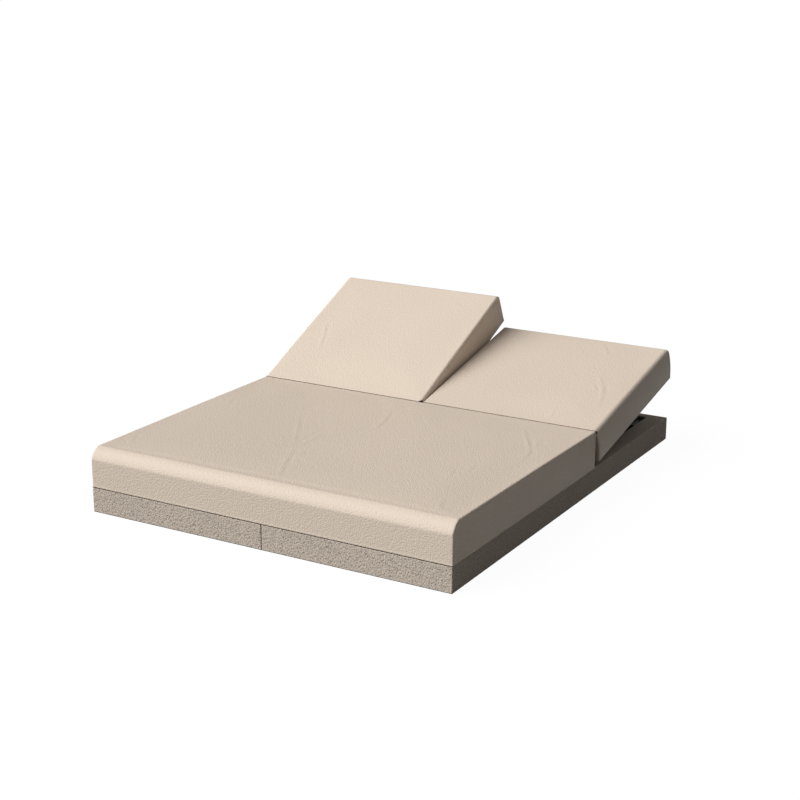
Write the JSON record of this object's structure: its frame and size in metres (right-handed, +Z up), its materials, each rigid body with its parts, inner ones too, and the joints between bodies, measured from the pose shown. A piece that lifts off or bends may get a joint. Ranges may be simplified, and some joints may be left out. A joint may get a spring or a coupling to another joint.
{
  "type": "double chaise lounger",
  "caption": "Low double chaise lounger with two base modules, one seat cushion and two backs that recline separately on props.",
  "frame": {"origin": "centre of the base on the floor it stands on", "axes": "+X to the right seen from the foot end, +Y from the foot end towards the backs, +Z up"},
  "size_m": [1.6138, 2.01, 0.5737],
  "materials": {
    "shell_finish": "granular stone-effect skin",
    "frame_metal": "mill finish",
    "track_metal": "satin",
    "pan_metal": "black powder coat",
    "cushion_leather": "fine pebbled outdoor leatherette",
    "board": "matte",
    "fastening_tape": "woven hook and loop tape",
    "grip_rubber": "matte",
    "shoe_nylon": "satin",
    "plug_plastic": "matte",
    "foot_rubber": "matte",
    "prop_metal": "satin powder coat",
    "hardware_steel": "satin"
  },
  "bodies": {
    "base": {"cross_rails_left": "frame_metal", "cross_rails_right": "frame_metal", "deck_shell_left": "shell_finish", "deck_shell_right": "shell_finish", "feet": "foot_rubber", "joining_straps": "hardware_steel", "prop_tracks_left": "track_metal", "prop_tracks_right": "track_metal", "rail_plugs": "plug_plastic", "recess_pan_left": "pan_metal", "recess_pan_right": "pan_metal", "seat_cushion": "cushion_leather", "seat_grip_strips": "grip_rubber", "seat_seam_plate_left": "hardware_steel", "seat_seam_plate_right": "hardware_steel", "side_rails_left": "frame_metal", "side_rails_right": "frame_metal"},
    "back_left": {"back_board_left": "board", "back_cushion_left": "cushion_leather", "back_seam_plate_left": "hardware_steel", "back_strips_left": "fastening_tape", "prop_brackets_left": "prop_metal", "prop_pins_left": "hardware_steel", "seam_hinge_pin_left": "hardware_steel"},
    "back_right": {"back_board_right": "board", "back_cushion_right": "cushion_leather", "back_seam_plate_right": "hardware_steel", "back_strips_right": "fastening_tape", "prop_brackets_right": "prop_metal", "prop_pins_right": "hardware_steel", "seam_hinge_pin_right": "hardware_steel"},
    "prop_left": {"prop_arms_left": "prop_metal", "prop_foot_bar_left": "prop_metal", "prop_hubs_left": "prop_metal", "prop_shoes_left": "shoe_nylon", "prop_tie_left": "prop_metal"},
    "prop_right": {"prop_arms_right": "prop_metal", "prop_foot_bar_right": "prop_metal", "prop_hubs_right": "prop_metal", "prop_shoes_right": "shoe_nylon", "prop_tie_right": "prop_metal"}
  },
  "joints": [
    {"name": "left_back_recline", "type": "hinge", "parent": "base", "child": "back_left", "pos_m": [-0.4005, 0.195, 0.252], "axis": [1, 0, 0], "range_deg": [-24, 21]},
    {"name": "left_prop_swing", "type": "hinge", "parent": "back_left", "child": "prop_left", "pos_m": [-0.4005, 0.49926, 0.20795], "axis": [1, 0, 0], "range_deg": [-36.17, 41.27]},
    {"name": "right_back_recline", "type": "hinge", "parent": "base", "child": "back_right", "pos_m": [0.4005, 0.195, 0.252], "axis": [1, 0, 0], "range_deg": [-12, 33]},
    {"name": "right_prop_swing", "type": "hinge", "parent": "back_right", "child": "prop_right", "pos_m": [0.4005, 0.48346, 0.14565], "axis": [1, 0, 0], "range_deg": [-54.57, 20.16]}
  ],
  "couplings": [
    {"joint": "left_prop_swing", "follows": "left_back_recline", "ratio": -1.6987},
    {"joint": "right_prop_swing", "follows": "right_back_recline", "ratio": -1.6385}
  ]
}
